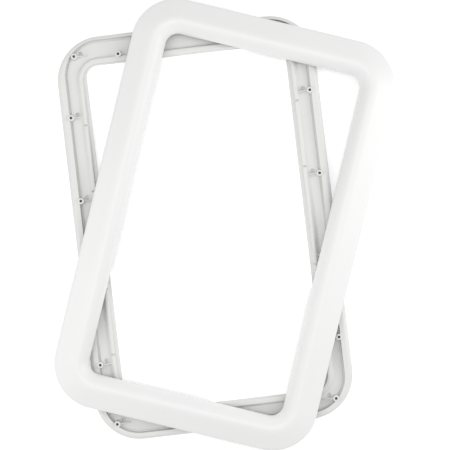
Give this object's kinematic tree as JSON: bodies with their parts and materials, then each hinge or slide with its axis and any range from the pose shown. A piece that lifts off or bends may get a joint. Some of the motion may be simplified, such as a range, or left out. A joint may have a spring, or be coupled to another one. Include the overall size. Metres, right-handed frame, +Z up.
{
  "type": "entry door window trim kit",
  "caption": "Interior and exterior moulded trim rings for an entry-door window, laid crossed, with seals and countersunk clamp screws.",
  "frame": {"origin": "below the centre of the exterior ring, in the plane that the kit lies on", "axes": "+Z up out of the rings' plane, towards the exterior ring's crowned face; +Y up the length of the crossed kit, the exterior ring turned 13.5 degrees clockwise of it and the interior ring 6.4 degrees anticlockwise"},
  "size_m": [0.515, 0.6838, 0.035],
  "materials": {
    "interior_plastic": "satin white",
    "exterior_plastic": "satin gloss white",
    "foam": "closed-cell foam",
    "gasket_rubber": "matt black",
    "zinc_screw": "zinc plated"
  },
  "bodies": {
    "interior_ring": {"interior_frame": "interior_plastic", "clamp_screw_01": "zinc_screw", "clamp_screw_02": "zinc_screw", "clamp_screw_03": "zinc_screw", "clamp_screw_04": "zinc_screw", "clamp_screw_05": "zinc_screw", "clamp_screw_06": "zinc_screw", "clamp_screw_07": "zinc_screw", "clamp_screw_08": "zinc_screw", "clamp_screw_09": "zinc_screw", "clamp_screw_10": "zinc_screw", "clamp_screw_11": "zinc_screw", "clamp_screw_12": "zinc_screw", "clamp_screw_13": "zinc_screw", "clamp_screw_14": "zinc_screw", "clamp_screw_15": "zinc_screw", "clamp_screw_16": "zinc_screw"},
    "gasket": {"glazing_gasket": "gasket_rubber"},
    "exterior_ring": {"exterior_frame": "exterior_plastic", "flange_seal": "foam"}
  },
  "joints": [
    {"name": "swivel", "type": "hinge", "parent": "interior_ring", "child": "gasket", "pos_m": [-0.0022, -0.08513, 0], "axis": [0, 0, 1], "range_deg": [0, 20.25]},
    {"name": "lift", "type": "slide", "parent": "gasket", "child": "exterior_ring", "axis": [0, 0, 1], "range_m": [0, 0.045]}
  ]
}
